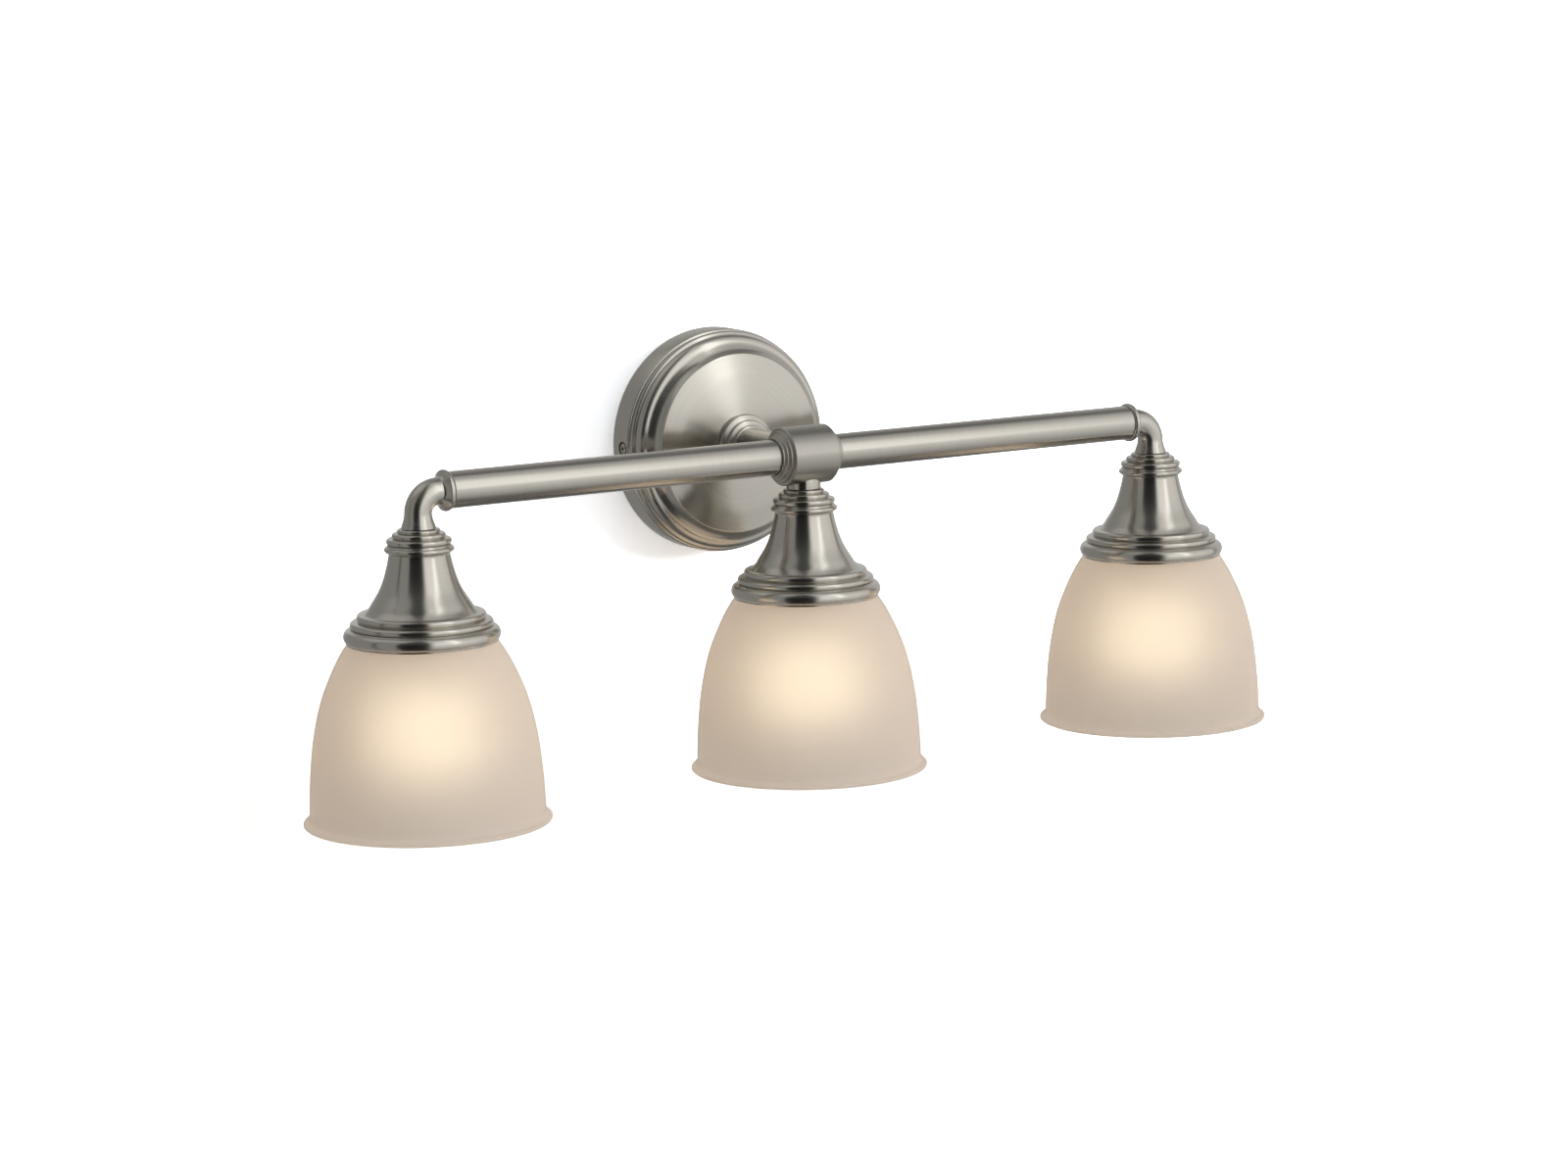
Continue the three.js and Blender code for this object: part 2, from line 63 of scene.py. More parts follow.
# ---- driving dimensions, mm ---------------------------------------------------------------
# Heights on a lamp's pieces are measured upwards from the shade's lip.
CANOPY_R = 61.5
CANOPY_DEPTH = 35.8
SHEET = 1.4
SCREW_DEPTH = 9.7  # from the wall to the side screws' axis
STRAP_HALF = 57.1
STRAP_THICK = 1.8
STRAP_WIDTH = 22
EARTH_X = -18
GAP = 0.3
TUBE_R = 9.5
TUBE_BORE_R = 8.2
STEM_R = 9.25
HUB_R = 15.6
HUB_HALF = 18.8
ELBOW_R = 7.05
ELBOW_BEND_R = 11
ELBOW_BEAD_R = 10.7
ELBOW_BEAD_END = 17
ELBOW_BORE_R = 4
NIPPLE_R = 4.9
NIPPLE_BORE_R = 3.4
NIPPLE_HOLE_R = 5.3
NUT_X = 9
NUT_DEPTH = 14
LAMP_PITCH = LAMP_X["right"] / MM
COLLAR_HEIGHT = 7.6
CAP_TOP = 143.3
COLLAR_BASE = CAP_TOP + GAP
COLLAR_TOP = COLLAR_BASE + COLLAR_HEIGHT
LAMP_FOOT = COLLAR_TOP + GAP - BAR_DROP  # where elbows and stem stand, from the bar's axis
ARM_COLLAR_BASE = CANOPY_DEPTH + GAP
ARM_START = ARM_COLLAR_BASE + COLLAR_HEIGHT + GAP
ARM_END = 83.8
SHADE_WALL = 3
BULB_R = 30
BULB_CENTRE = 40
BULB_WALL = 1
THREAD_PITCH = 3.6


# ---- outline tools ------------------------------------------------------------------------
GENTLE = 22  # degrees of turn, below which a corner is left as it is
NONE_R = 1e-6  # a radius below this is on the axis


def arc(r, h, radius_r, radius_h, start, end, steps):
    """Points of a round bead: an arc about (r, h) between two angles in degrees."""
    angles = np.radians(np.linspace(start, end, steps + 1))
    return [(r + radius_r * math.cos(a), h + radius_h * math.sin(a)) for a in angles]


def smooth(through, steps):
    """Points of a smooth curve through a few points."""
    p = [np.array(q, float) for q in through]
    p = [2 * p[0] - p[1], *p, 2 * p[-1] - p[-2]]
    points = []
    for a, b, c, d in zip(p, p[1:], p[2:], p[3:]):
        for t in np.arange(steps) / steps:
            points.append(tuple(0.5 * (
                2 * b + (c - a) * t + (2 * a - 5 * b + 4 * c - d) * t ** 2
                + (3 * b - a - 3 * c + d) * t ** 3)))
    return points + [tuple(p[-2])]


def eased(outline, radius, steps=4):
    """The closed outline with each sharp corner rounded by up to a radius."""
    p = [np.array(q, float) for q in outline]
    points = []
    for i, corner in enumerate(p):
        before, after = p[i - 1] - corner, p[(i + 1) % len(p)] - corner
        la, lb = np.linalg.norm(before), np.linalg.norm(after)
        turn = abs(math.pi - math.acos(np.clip(before @ after / (la * lb), -1, 1)))
        if turn < math.radians(GENTLE) or corner[0] < NONE_R:
            points.append(tuple(corner))
            continue
        cut = min(radius * math.tan(turn / 2), 0.45 * la, 0.45 * lb)
        a, b = corner + before / la * cut, corner + after / lb * cut
        for t in np.linspace(0, 1, steps + 1):
            points.append(tuple((1 - t) ** 2 * a + 2 * t * (1 - t) * corner + t ** 2 * b))
    return points


def inner_wall(outline, wall):
    """An open outline moved inwards by a wall thickness, walked back to its start."""
    p = np.array(outline, float)
    along = np.gradient(p, axis=0)
    along /= np.linalg.norm(along, axis=1)[:, None]
    moved = p + wall * np.stack([-along[:, 1], along[:, 0]], 1)
    return [tuple(q) for q in moved[::-1]]


# ---- mesh tools ---------------------------------------------------------------------------
SHARP = 32  # degrees between faces, from which an edge stays hard
AXIS_LETTER = {"x": "X", "out": "Y", "z": "Z"}
# From a radius, a height and an angle's cosine and sine to (x, y, z), for each axis of turning.
PLACED = {
    "z": lambda r, h, c, s: (r * c, r * s, h),
    "x": lambda r, h, c, s: (h, r * c, r * s),
    "out": lambda r, h, c, s: (r * c, -h, r * s),
}


def mesh_piece(name, points, faces, sharp=SHARP):
    """A mesh object from points in millimetres, smooth but for edges above an angle in degrees."""
    mesh = bpy.data.meshes.new(name)
    mesh.from_pydata([Vector(p) * MM for p in points], [], faces)
    work = bmesh.new()
    work.from_mesh(mesh)
    bmesh.ops.recalc_face_normals(work, faces=work.faces)
    work.to_mesh(mesh)
    work.free()
    mesh.shade_smooth()
    mesh.set_sharp_from_angle(angle=math.radians(sharp))
    piece = bpy.data.objects.new(name, mesh)
    bpy.context.scene.collection.objects.link(piece)
    return piece


def lathe(name, outline, axis="z", segments=96, thread=None, sharp=SHARP):
    """A turned piece from (r, h) points. A thread function adds to r by angle, height and r."""
    place = PLACED[axis]
    points, rings = [], []
    for r, h in outline:
        if r < NONE_R:
            rings.append([len(points)])
            points.append(place(0, h, 1, 0))
            continue
        ring = []
        for k in range(segments):
            a = 2 * math.pi * k / segments
            rr = r + (thread(a, h, r) if thread else 0)
            ring.append(len(points))
            points.append(place(rr, h, math.cos(a), math.sin(a)))
        rings.append(ring)
    if outline[0][0] > NONE_R or outline[-1][0] > NONE_R:
        rings.append(rings[0])
    faces = []
    for a, b in zip(rings, rings[1:]):
        if len(a) == 1 and len(b) == 1:
            continue
        for k in range(segments):
            n = (k + 1) % segments
            quad = (a[k % len(a)], a[n % len(a)], b[n % len(b)], b[k % len(b)])
            faces.append(tuple(dict.fromkeys(quad)))
    return mesh_piece(name, points, faces, sharp)


def swept(name, stations, segments=48, closed=False):
    """A tube through (centre, direction, radius) stations, each ring turned least from the last."""
    points, rings = [], []
    side = None
    for centre, direction, radius in stations:
        d = Vector(direction).normalized()
        if side is None:
            side = d.orthogonal().normalized()
        side = (side - d * side.dot(d)).normalized()
        up = d.cross(side)
        ring = []
        for k in range(segments):
            a = 2 * math.pi * k / segments
            ring.append(len(points))
            points.append(Vector(centre) + float(radius) * (math.cos(a) * side + math.sin(a) * up))
        rings.append(ring)
    if closed:
        rings.append(rings[0])
    faces = []
    for a, b in zip(rings, rings[1:]):
        for k in range(segments):
            n = (k + 1) % segments
            faces.append((a[k], a[n], b[n], b[k]))
    if not closed:
        faces += [tuple(rings[0]), tuple(reversed(rings[-1]))]
    return mesh_piece(name, points, faces)


def cable(name, through, radius, steps=10, segments=12):
    """A round wire along a smooth curve through points in millimetres."""
    line = np.array(smooth(through, steps))
    along = np.gradient(line, axis=0)
    return swept(name, [(c, d, radius) for c, d in zip(line, along)], segments)


def prism(name, near, far):
    """A straight-sided piece between two outlines with as many points each."""
    n = len(near)
    faces = [tuple(range(n)), tuple(range(2 * n - 1, n - 1, -1))]
    faces += [(i, (i + 1) % n, (i + 1) % n + n, i + n) for i in range(n)]
    return mesh_piece(name, [*near, *far], faces)


def rod(name, radius, low, high, axis, segments=48):
    """A plain cylinder, used to cut round holes."""
    return lathe(name, [(0, low), (radius, low), (radius, high), (0, high)], axis, segments)


def combine(piece, tools, operation):
    """Puts a Boolean modifier on a piece for each tool."""
    for tool in tools:
        modifier = piece.modifiers.new("combine", "BOOLEAN")
        modifier.operation = operation
        modifier.solver = "EXACT"
        modifier.object = tool


def cut(piece, tools, added=()):
    """Adds some tool pieces to a piece, cuts the others out of it, and removes them all."""
    combine(piece, added, "UNION")
    combine(piece, tools, "DIFFERENCE")
    bpy.context.view_layer.update()
    evaluated = piece.evaluated_get(bpy.context.evaluated_depsgraph_get())
    mesh = bpy.data.meshes.new_from_object(evaluated)
    piece.modifiers.clear()
    piece.data = mesh
    mesh.shade_smooth()
    mesh.set_sharp_from_angle(angle=math.radians(SHARP))
    for tool in (*tools, *added):
        bpy.data.objects.remove(tool)
    return piece


def join(piece, others):
    """Adds other pieces' meshes to a piece and removes them."""
    work = bmesh.new()
    for source in (piece, *others):
        bpy.context.view_layer.update()
        copy = source.data.copy()
        copy.transform(source.matrix_world)
        work.from_mesh(copy)
    piece.matrix_world = Matrix.Identity(4)
    work.to_mesh(piece.data)
    work.free()
    for other in others:
        bpy.data.objects.remove(other)
    return piece


def moved(piece, x=0.0, y=0.0, z=0.0):
    """The piece at a place in millimetres."""
    piece.location = Vector((x, y, z)) * MM
    return piece


def stand_for(piece, node, material, body="root"):
    """The finished piece takes a CAD node's place and body and gets its material; the CAD node is hidden.
    """
    piece.data.materials.clear()
    piece.data.materials.append(material)
    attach(piece, body)
    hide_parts(node)
    return piece


# ---- material tools -----------------------------------------------------------------------
def node(tree, kind, inputs=None, **settings):
    """A new shader node with its inputs set to values or linked to sockets."""
    made = tree.nodes.new("ShaderNode" + kind)
    for key, value in settings.items():
        setattr(made, key, value)
    for key, value in (inputs or {}).items():
        if isinstance(value, bpy.types.NodeSocket):
            tree.links.new(value, made.inputs[key])
        else:
            made.inputs[key].default_value = value
    return made


def calc(tree, operation, *values):
    """The result of a Math node."""
    made = node(tree, "Math", dict(enumerate(values)), operation=operation)
    return made.outputs[0]


def spread(tree, value, low, high):
    """A 0 to 1 value moved to the range low to high."""
    return node(tree, "MapRange", {"Value": value, "To Min": low, "To Max": high}).outputs[0]


def soft_step(tree, value, start, end, before, after):
    """Goes smoothly from before to after while the value goes from start to end."""
    return node(tree, "MapRange", {
        "Value": value, "From Min": start, "From Max": end, "To Min": before, "To Max": after},
        interpolation_type="SMOOTHSTEP").outputs[0]


def tint(tree, value, dark, light):
    """A colour between two, by a 0 to 1 value."""
    ends = {"Factor": value, "A": (*dark, 1), "B": (*light, 1)}
    return node(tree, "Mix", ends, data_type="RGBA").outputs["Result"]


def grain(tree, scale, detail=4.0, rough=0.6):
    """Fine noise in the piece's own coordinates, scale in bumps per metre."""
    place = node(tree, "TexCoord").outputs["Object"]
    return node(tree, "TexNoise", {
        "Vector": place, "Scale": scale, "Detail": detail, "Roughness": rough}).outputs["Fac"]


def brushing(tree, axis, per_metre, per_turn, detail=5.0):
    """Noise drawn out around a turned piece's axis, as brushing in a lathe leaves it."""
    place = node(tree, "TexCoord").outputs["Object"]
    split = node(tree, "SeparateXYZ", {0: place}).outputs
    height = split["XYZ".index(AXIS_LETTER[axis])]
    u, v = [split[i] for i in range(3) if split[i] != height]
    squares = [calc(tree, "MULTIPLY", side, side) for side in (u, v)]
    radius = calc(tree, "SQRT", calc(tree, "ADD", *squares))
    radius = calc(tree, "MAXIMUM", radius, 0.5 * MM)  # never zero, because it divides
    vector = node(tree, "CombineXYZ", {
        0: calc(tree, "MULTIPLY", calc(tree, "DIVIDE", u, radius), per_turn),
        1: calc(tree, "MULTIPLY", calc(tree, "DIVIDE", v, radius), per_turn),
        2: calc(tree, "MULTIPLY", height, per_metre)}).outputs[0]
    return node(tree, "TexNoise", {
        "Vector": vector, "W": calc(tree, "MULTIPLY", radius, per_metre),
        "Scale": 1.0, "Detail": detail, "Roughness": 0.65},
        noise_dimensions="4D").outputs["Fac"]


def surface_of(material):
    """A material's node tree and its Principled shader."""
    return material.node_tree, material.node_tree.nodes["Principled BSDF"]


def finish_of(name, colour, roughness, field_of, relief=0.0, **constants):
    """A Principled material: colours and roughness run between two values along a noise.

    Relief is the depth in mm that the noise gives to the surface.
    """
    material = bpy.data.materials.new(name)
    material.use_nodes = True
    tree, shader = surface_of(material)
    field = field_of(tree)
    tree.links.new(tint(tree, field, *colour), shader.inputs["Base Color"])
    tree.links.new(spread(tree, field, *roughness), shader.inputs["Roughness"])
    if relief:
        bump = node(tree, "Bump", {"Height": field, "Strength": 1.0, "Distance": relief * MM})
        tree.links.new(bump.outputs[0], shader.inputs["Normal"])
    for key, value in constants.items():
        shader.inputs[key.replace("_", " ")].default_value = value
    return material


# ---- materials ----------------------------------------------------------------------------
NICKEL = ((0.56, 0.535, 0.48), (0.68, 0.655, 0.60))
SATIN = (0.2, 0.3)


def turned_nickel(name, axis, roughness=SATIN, shade=1.0):
    """Brushed nickel: fine rings around the axis, which draw each highlight out across them."""
    material = finish_of(
        "nickel_turned_" + name, [[c * shade for c in colour] for colour in NICKEL],
        roughness, lambda t: brushing(t, axis, per_metre=2600, per_turn=0.5), relief=0.0012, Metallic=1.0,
        Anisotropic=0.85, Anisotropic_Rotation=0.25)
    tree, shader = surface_of(material)
    tangent = node(tree, "Tangent", direction_type="RADIAL", axis=AXIS_LETTER[axis])
    tree.links.new(tangent.outputs[0], shader.inputs["Tangent"])
    return material


nickel = {axis: turned_nickel(axis, axis) for axis in ("x", "out", "z")}
hub_nickel = turned_nickel("hub", "x", roughness=(0.3, 0.4), shade=0.86)
canopy_nickel = turned_nickel("canopy", "out", roughness=(0.18, 0.26))
cast_nickel = finish_of(
    "nickel_cast", NICKEL, SATIN, lambda t: grain(t, 700), relief=0.006, Metallic=1.0)
zinc = finish_of(
    "zinc_plate", ((0.42, 0.43, 0.42), (0.62, 0.62, 0.6)), (0.28, 0.48),
    lambda t: grain(t, 260, 6), relief=0.01, Metallic=1.0)
green_paint = finish_of(
    "green_screw", ((0.015, 0.13, 0.03), (0.03, 0.2, 0.05)), (0.35, 0.5),
    lambda t: grain(t, 800), relief=0.01)
copper = finish_of(
    "copper_wire", ((0.6, 0.27, 0.14), (0.8, 0.4, 0.24)), (0.25, 0.42),
    lambda t: grain(t, 900), relief=0.01, Metallic=1.0)
red_plastic = finish_of(
    "wire_nut_red", ((0.55, 0.07, 0.02), (0.7, 0.11, 0.03)), (0.38, 0.52),
    lambda t: grain(t, 1200), relief=0.02)
white_plastic = finish_of(
    "wire_nut_white", ((0.7, 0.68, 0.62), (0.82, 0.8, 0.74)), (0.38, 0.52),
    lambda t: grain(t, 1200), relief=0.02)
sleeve = finish_of(
    "lead_sleeve", ((0.012, 0.012, 0.013), (0.03, 0.03, 0.032)), (0.4, 0.6),
    lambda t: grain(t, 1500), relief=0.02)
porcelain = finish_of(
    "socket_plastic", ((0.74, 0.71, 0.63), (0.8, 0.77, 0.7)), (0.22, 0.34),
    lambda t: grain(t, 300), relief=0.01, Coat_Weight=0.3, Coat_Roughness=0.1)
brass = finish_of(
    "socket_brass", ((0.6, 0.4, 0.14), (0.78, 0.57, 0.25)), (0.22, 0.38),
    lambda t: brushing(t, "z", per_metre=1200, per_turn=2.0), relief=0.004, Metallic=1.0)
bulb_metal = finish_of(
    "bulb_base_metal", ((0.6, 0.59, 0.57), (0.76, 0.75, 0.72)), (0.25, 0.4),
    lambda t: brushing(t, "z", per_metre=1200, per_turn=2.0), relief=0.004, Metallic=1.0)
black_glass = finish_of(
    "bulb_insulator", ((0.01, 0.01, 0.012), (0.03, 0.03, 0.035)), (0.08, 0.2),
    lambda t: grain(t, 900))

PAINTED_GLASS_GLOW = 0.115
BULB_GLOW = 1.75
BULB_NECK_GLOW, BULB_MIDDLE_GLOW, BULB_TIP_GLOW = 0.12, 1.25, 0.5  # shares of the bulb's glow
SEEN_SHARE = 0.16

# Painted glow: the frosted shade gives off a warm light of its own, on top of the bulb's light that
# passes through the glass.
frosted = finish_of(
    "frosted_glass", ((0.75, 0.705, 0.665), (0.79, 0.745, 0.705)), (0.74, 0.84),
    lambda t: grain(t, 1800, 3), relief=0.008, Transmission_Weight=0.6, IOR=1.45,
    Emission_Color=(1.0, 0.82, 0.64, 1), Emission_Strength=PAINTED_GLASS_GLOW)
bulb_frost = finish_of(
    "bulb_frost", ((0.9, 0.88, 0.84), (0.95, 0.93, 0.9)), (0.35, 0.5),
    lambda t: grain(t, 1500), relief=0.006, Emission_Color=(1.0, 0.92, 0.70, 1))


def glow_by_height(material, steps, strengths):
    """Emission by height: over each step, between two heights in mm, it goes to the next strength."""
    tree, shader = surface_of(material)
    place = node(tree, "TexCoord").outputs["Object"]
    height = node(tree, "SeparateXYZ", {0: place}).outputs["Z"]
    strength = strengths[0]
    for (low, high), value in zip(steps, strengths[1:]):
        strength = soft_step(tree, height, low * MM, high * MM, strength, value)
    # Seen directly the bulb is dimmed, so that its shape isn't lost in white.
    seen = node(tree, "LightPath").outputs["Is Camera Ray"]
    strength = calc(tree, "MULTIPLY", strength, spread(tree, seen, 1.0, SEEN_SHARE))
    tree.links.new(strength, shader.inputs["Emission Strength"])


# The bulb shines most around its filament, and less at its tip and its neck.
glow_by_height(bulb_frost, [(14, 42), (64, 82)], [
    share * BULB_GLOW for share in (BULB_TIP_GLOW, BULB_MIDDLE_GLOW, BULB_NECK_GLOW)])


# ---- shared small pieces ------------------------------------------------------------------
def stepped_collar(name, axis, base):
    """Three rounded tiers, as above each bell and where the arm meets the canopy."""
    outline = [
        (NIPPLE_HOLE_R, 0),
        (16, 0),
        *arc(15.7, 1.4, 0.9, 1.4, -70, 80, 8),
        (13.9, 3.0),
        *arc(12.7, 4.3, 1.0, 1.25, -60, 80, 8),
        (11.1, 5.6),
        *arc(10.1, 6.6, 0.9, 1.0, -60, 85, 8),
        (9.4, COLLAR_HEIGHT),
        (NIPPLE_HOLE_R, COLLAR_HEIGHT),
    ]
    placed = [(r, h + base) for r, h in eased(outline, 0.25)]
    return lathe(name, placed, axis, 112)


def screw_thread(pitch, depth, low, high):
    """Adds a helical thread between two heights, fading out at its ends."""
    def ridge(angle, h, r):
        fade = min(1, max(0, (h - low) / pitch), max(0, (high - h) / pitch))
        return -depth * fade * (0.5 - 0.5 * math.cos(angle - 2 * math.pi * h / pitch))
    return ridge


def threaded(name, radius, bore, low, high, axis, pitch=0.94, depth=0.4):
    """A threaded nipple."""
    steps = int((high - low) / pitch * 6)
    outer = [(radius, h) for h in np.linspace(low + 0.3, high - 0.3, steps)]
    outline = [(radius - 0.3, low), *outer, (radius - 0.3, high), (bore, high), (bore, low)]
    ridge = screw_thread(pitch, depth, low, high)
    return lathe(name, outline, axis, 40,
                 lambda a, h, r: ridge(a, h, r) if r >= radius else 0, sharp=50)


def hex_nut(name, low, high, axis, across=13.9, hole=NIPPLE_HOLE_R, chamfer=0.8):
    """A hexagonal nut whose corners are turned back at both faces."""
    flat = across / 2
    corner = flat / math.cos(math.pi / 6)

    def hexagon(angle, h, r):
        if r < flat:
            return 0
        wrapped = (angle + math.pi / 6) % (math.pi / 3) - math.pi / 6
        return min(flat / math.cos(wrapped), r) - r

    outline = [
        (hole + 0.4, low), (flat, low), (corner, low + chamfer), (corner, high - chamfer),
        (flat, high), (hole + 0.4, high), (hole, high - 0.4), (hole, low + 0.4)]
    return lathe(name, outline, axis, 96, hexagon, sharp=20)


# ---- wall side ----------------------------------------------------------------------------
def canopy():
    """A spun dish: side band, groove, two rings, cove and dome, with a boss for each side screw."""
    outer = [
        (CANOPY_R, 0),
        (61.3, 13.4),
        *arc(60.4, 13.6, 0.85, 0.9, 0, 85, 5),
        (59.0, 14.8),
        *arc(58.9, 16.8, 1.5, 1.5, -75, 75, 12),
        (58.5, 18.7),
        *arc(54.2, 19.6, 4.4, 4.4, -5, 82, 16),
        (54.2, 24.2),
        *smooth([(53.4, 24.7), (51, 26.8), (49.6, 29.0), (49, 30.9)], 5),
        (48.2, 31.3),
        *smooth([(47.6, 31.35), (42, 32.5), (36, 33.6), (25, 34.9), (15, CANOPY_DEPTH)], 8),
        (NIPPLE_HOLE_R, CANOPY_DEPTH),
    ]
    inner = [
        (NIPPLE_HOLE_R, CANOPY_DEPTH - SHEET),
        *smooth([(15, 34.3), (25, 33.4), (36, 32.1), (46.6, 29.5)], 6),
        (49, 25.4),
        (56.4, 17.4),
        (59.4, 13.2),
        (CANOPY_R - SHEET, 0),
    ]
    shell = lathe("canopy_shell", outer + inner, "out", 192)
    tools = []
    boss_walls = []
    for side in (-1, 1):
        for radius, low, high in ((4.0, 58.6, 64), (2.3, 55, 60)):  # the recess and the hole
            tools.append(moved(rod("tool", radius, side * low, side * high, "x"), y=-SCREW_DEPTH))
        boss = [(2.5, side * h) for h in (57.4, 60.3)] + [(6.5, side * h) for h in (60.3, 57.4)]
        boss_walls.append(moved(lathe("boss", eased(boss, 0.3), "x", 48), y=-SCREW_DEPTH))
    return cut(shell, tools, boss_walls)


stand_for(canopy(), "canopy", canopy_nickel)
stand_for(stepped_collar("arm_collar_turned", "out", ARM_COLLAR_BASE), "arm_collar", nickel["out"])


def side_screw(side):
    """A pan-head cross screw that sits in a round recess in the canopy's side."""
    shank_r, slot_half_length, slot_half_width = 1.9, 2.0, 0.4
    outline = [
        (0, 50), (1.5, 50), (shank_r, 50.6), (shank_r, 59.2), (2.8, 59.2), (2.85, 60.7),
        *arc(2.3, 60.8, 0.55, 0.6, 0, 90, 6), (0, 61.45)]
    ridge = screw_thread(1.0, 0.3, 50, 58)
    piece = lathe("side_screw_head_" + side, outline, "x", 48,
                  lambda a, h, r: ridge(a, h, r) if r == shank_r else 0)
    slots = []
    for turn in (20, 110):
        corners = [(u * slot_half_length, v * slot_half_width)
                   for u, v in ((-1, -1), (1, -1), (1, 1), (-1, 1))]
        slot = prism("tool", *([(h, *corner) for corner in corners] for h in (60.0, 62)))
        slot.rotation_euler.x = math.radians(turn)
        slots.append(slot)
    cut(piece, slots)
    if side == "left":
        piece.rotation_euler.z = math.pi
    return moved(piece, y=-SCREW_DEPTH)


for side in ("left", "right"):
    stand_for(side_screw(side), "side_screw_" + side, nickel["x"])


def mounting_strap():
    """The plate on the wiring box: two slots for its screws, and an ear for each side screw."""
    t, half, tip = STRAP_THICK, STRAP_HALF, -14.0
    inner_bend = arc(half - 2 * t, -2 * t, t, t, 90, 0, 6)
    outer_bend = arc(half - 2 * t, -2 * t, 2 * t, 2 * t, 0, 90, 8)
    right = [*inner_bend, (half - t, tip + 0.4), (half - t + 0.4, tip), (half - 0.4, tip),
             (half, tip + 0.4), *outer_bend]
    left = [(-x, y) for x, y in reversed(right)]
    plate = prism("strap_plate", *(
        [(x, y, z) for x, y in [*right, *left]] for z in (-STRAP_WIDTH / 2, STRAP_WIDTH / 2)))
    corner = [(48, 15), (50, 11), (53, 7.5), (62, 7.5), (62, 15)]
    slot_x, slot_half, slot_r = 36, 5.5, 2.5
    tools = []
    for side in (-1, 1):
        for up in (-1, 1):
            tools.append(prism("tool", *(
                [(side * x, y, up * z) for x, z in corner] for y in (-20, 3))))
        slot = [*arc(side * slot_x + slot_half, 0, slot_r, slot_r, -90, 90, 10),
                *arc(side * slot_x - slot_half, 0, slot_r, slot_r, 90, 270, 10)]
        tools.append(prism("tool", *([(x, y, z) for x, z in slot] for y in (-4, 2))))
        tapped = rod("tool", 2.2, side * (half - 3), side * (half + 3), "x", 32)
        tools.append(moved(tapped, y=-SCREW_DEPTH))
    tools.append(moved(rod("tool", 2.3, -1, 4, "out", 32), x=EARTH_X))
    cut(plate, tools)
    rounded = plate.modifiers.new("edges", "BEVEL")
    rounded.width = 0.25 * MM
    rounded.segments = 2
    rounded.limit_method = "ANGLE"
    rounded.angle_limit = math.radians(50)
    return plate


stand_for(mounting_strap(), "mounting_strap", zinc)


def ground_screw():
    """A hexagonal head on a short plain shank."""
    head = hex_nut("earth_screw_head", 2.1, 5.4, "out", across=7.6, hole=0.01, chamfer=0.5)
    outline = [(0, 0.3), (1.5, 0.3), (1.9, 0.8), (1.9, 3), (0, 3)]
    shank = lathe("earth_screw_shank", outline, "out", 32)
    return moved(join(head, [shank]), x=EARTH_X)


stand_for(ground_screw(), "ground_screw", green_paint)
stand_for(threaded("arm_nipple_threaded", NIPPLE_R, NIPPLE_BORE_R, 25, ARM_START + 7, "out"),
          "arm_nipple", zinc)
stand_for(hex_nut("arm_locknut_hex", 30.1, 34.1, "out"), "arm_locknut", zinc)


def arm():
    """The arm's tube, closed to the nipple's width where it stands on its collar."""
    plug_end = ARM_START + 8
    outline = [
        (NIPPLE_HOLE_R, ARM_START), (TUBE_R, ARM_START), (TUBE_R, ARM_END),
        (TUBE_BORE_R, ARM_END), (TUBE_BORE_R, plug_end), (NIPPLE_HOLE_R, plug_end)]
    return lathe("arm_tube", eased(outline, 0.3), "out", 96)


stand_for(arm(), "arm", nickel["out"])


def wire_nut(name, x):
    """A ribbed twist-on connector with its mouth down."""
    depth, count = 0.28, 12

    def ribs(angle, h, r):
        share = min(1, max(0, (h - 21) / 2), max(0, (36 - h) / 3)) if r > 3.35 else 0
        return depth * share * math.cos(count * angle) - depth * share

    skirt = smooth([(5.2, 18.4), (5.15, 21), (4.85, 26), (4.3, 32), (3.6, 36)], 5)
    outline = [(3.3, 18), (5.0, 18), *skirt, *arc(2.4, 36, 1.2, 1.0, 10, 90, 5), (0, 37),
               (0, 28), (2.6, 28), (3.3, 27.2)]
    return moved(lathe(name, outline, "z", 96, ribs, sharp=50), x=x, y=-NUT_DEPTH)


stand_for(wire_nut("hot_connector", -NUT_X), "wire_nut_hot", red_plastic)
stand_for(wire_nut("neutral_connector", NUT_X), "wire_nut_neutral", white_plastic)
earth_route = [(EARTH_X, -6.6, 0), (EARTH_X, -12, 2), (-19, -20, 6), (-14, -26, 5),
               (-8.8, -28.4, 2)]
stand_for(cable("bare_earth_wire", earth_route, 0.8), "ground_wire", copper)


# ---- bar ----------------------------------------------------------------------------------
def hub():
    """A barrel with three small steps at each end, and holes for the arm and the stem."""
    half = [
        (HUB_R, 13.4),
        (HUB_R - 0.4, 13.9),
        (13.9, 14.1),
        *arc(13.3, 14.9, 0.5, 0.7, -40, 70, 4),
        (12.5, 15.7),
        *arc(11.8, 16.5, 0.45, 0.65, -40, 70, 4),
        (11.1, 17.3),
        *arc(10.5, 18.1, 0.4, 0.65, -40, 80, 4),
        (TUBE_R + GAP, HUB_HALF),
        (TUBE_R + GAP, 12.8),
        (12.6, 12.8),
    ]
    barrel = lathe("hub_barrel", [*half, *[(r, -h) for r, h in reversed(half)]], "x", 128)
    arm_hole = rod("tool", TUBE_R + GAP, -30, -5, "out", 96)
    stem_hole = rod("tool", STEM_R + GAP, -30, -5, "z", 96)
    return moved(cut(barrel, [arm_hole, stem_hole]), y=BAR_Y / MM)


stand_for(hub(), "hub", hub_nickel)


